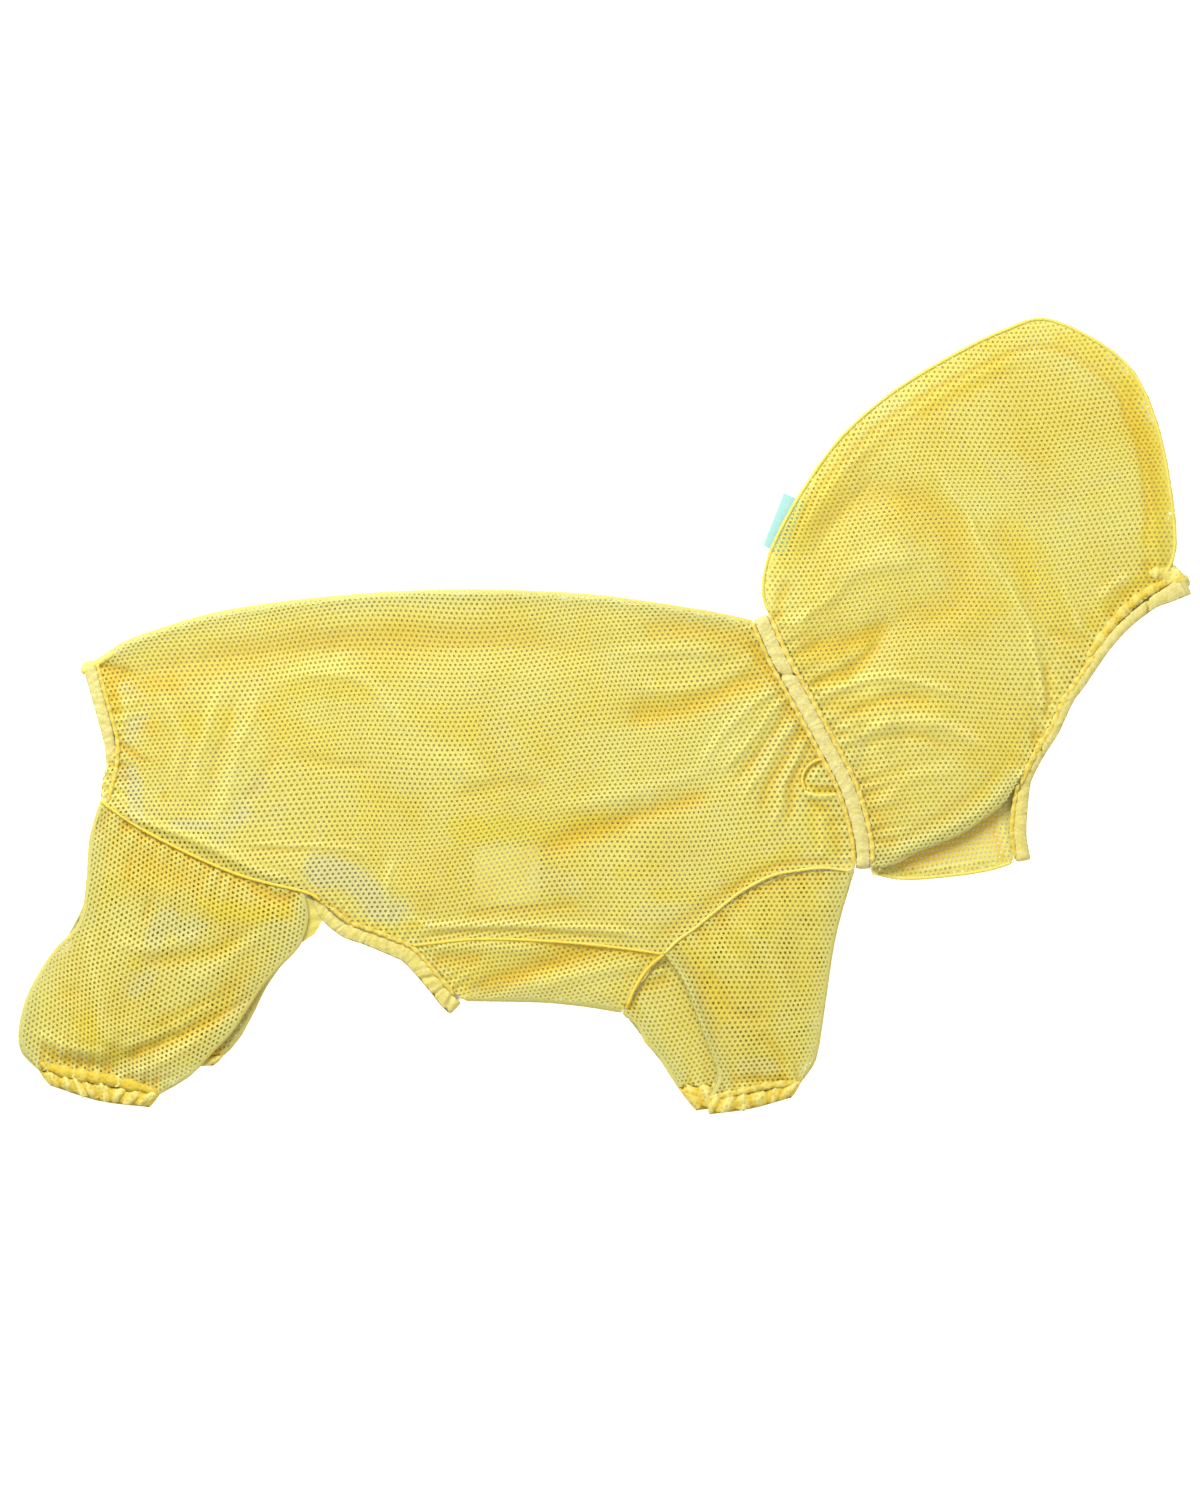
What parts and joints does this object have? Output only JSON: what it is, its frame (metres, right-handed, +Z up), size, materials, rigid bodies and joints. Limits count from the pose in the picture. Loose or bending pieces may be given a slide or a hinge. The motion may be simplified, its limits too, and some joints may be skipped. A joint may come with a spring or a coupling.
{
  "type": "dog mesh bug suit",
  "caption": "Hooded four-legged mesh suit for a small dog, laid flat on its left side, with elastic at the neck, face, cuffs and tail opening",
  "frame": {"origin": "on the floor under the middle of the garment's box", "axes": "+X from the tail opening towards the nose, +Y towards the dog's back, +Z up from the surface the garment lies on"},
  "size_m": [0.493, 0.335, 0.0088],
  "materials": {
    "mesh_cloth": "yellow polyester hexagonal net, soft sheen",
    "elastic_casing": "pale yellow ruched casing over flat elastic",
    "side_label": "pale cyan woven ribbon, blank",
    "care_label": "cream satin ribbon, blank"
  },
  "bodies": {
    "root": {"body": "mesh_cloth", "belly_panel": "mesh_cloth", "hood_right": "mesh_cloth", "hood_left": "mesh_cloth", "sleeve_right": "mesh_cloth", "sleeve_left": "mesh_cloth", "leg_right": "mesh_cloth", "leg_left": "mesh_cloth", "cuff_front_right": "elastic_casing", "cuff_front_left": "elastic_casing", "cuff_hind_right": "elastic_casing", "cuff_hind_left": "elastic_casing", "neck_band": "elastic_casing", "face_band": "elastic_casing", "rear_band": "elastic_casing", "side_label": "side_label", "care_label": "care_label"}
  },
  "joints": []
}
